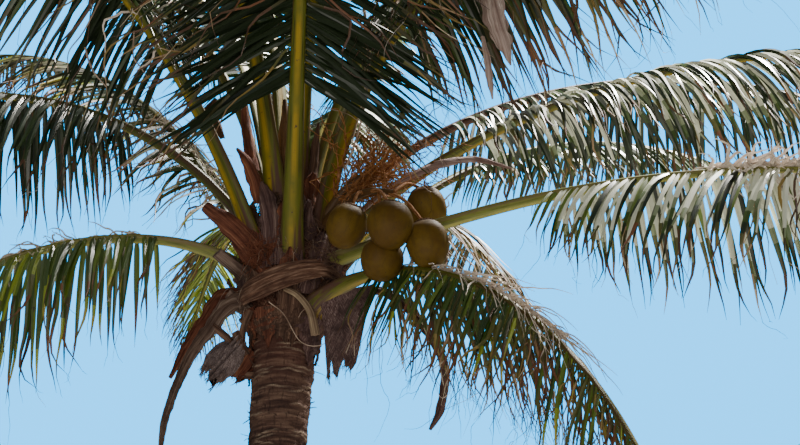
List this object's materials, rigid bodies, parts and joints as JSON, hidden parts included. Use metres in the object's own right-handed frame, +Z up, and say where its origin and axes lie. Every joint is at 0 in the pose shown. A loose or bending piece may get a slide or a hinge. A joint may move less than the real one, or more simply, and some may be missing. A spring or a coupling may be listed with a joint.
{
  "type": "coconut palm tree",
  "caption": "Coconut palm with a leaning ringed trunk, a fibrous heart, arching feather fronds and dry hanging bracts.",
  "frame": {"origin": "middle of the flat cut under the trunk at ground level", "axes": "+Z up; -Y is the side that the picture shows, and the trunk leans a little to +X"},
  "size_m": [6.3868, 5.6515, 8.8824],
  "materials": {
    "bark": "rough ringed bark",
    "fibre": "coarse dry fibre",
    "frond": "waxy leaf",
    "dry": "dry sheath"
  },
  "bodies": {
    "root": {"bract_left_long": "dry", "bract_left_short": "dry", "bract_right_long": "dry", "bract_upper_right": "dry", "frond_back_high_inner": "frond", "frond_back_high_outer": "frond", "frond_back_left_low_inner": "frond", "frond_back_left_low_outer": "frond", "frond_back_left_mid_inner": "frond", "frond_back_left_mid_outer": "frond", "frond_back_mid_inner": "frond", "frond_back_mid_outer": "frond", "frond_back_right_high_inner": "frond", "frond_back_right_high_outer": "frond", "frond_back_right_low_inner": "frond", "frond_back_right_low_outer": "frond", "frond_back_right_mid_inner": "frond", "frond_back_right_mid_outer": "frond", "frond_back_top_inner": "frond", "frond_back_top_outer": "frond", "frond_front_high_inner": "frond", "frond_front_high_outer": "frond", "frond_front_left_high_inner": "frond", "frond_front_left_high_outer": "frond", "frond_front_right_top_inner": "frond", "frond_front_right_top_outer": "frond", "frond_left_front_high_inner": "frond", "frond_left_front_high_outer": "frond", "frond_left_high_inner": "frond", "frond_left_high_outer": "frond", "frond_left_low_inner": "frond", "frond_left_low_outer": "frond", "frond_left_mid_inner": "frond", "frond_left_mid_outer": "frond", "frond_right_front_high_inner": "frond", "frond_right_front_high_outer": "frond", "frond_right_front_low_inner": "frond", "frond_right_front_low_outer": "frond", "frond_right_mid_inner": "frond", "frond_right_mid_outer": "frond", "frond_right_top_inner": "frond", "frond_right_top_outer": "frond", "frond_right_upper_back_inner": "frond", "frond_right_upper_back_outer": "frond", "frond_right_upper_front_inner": "frond", "frond_right_upper_front_outer": "frond", "heart": "fibre", "spear_leaf": "frond", "trunk": "bark"}
  },
  "joints": []
}
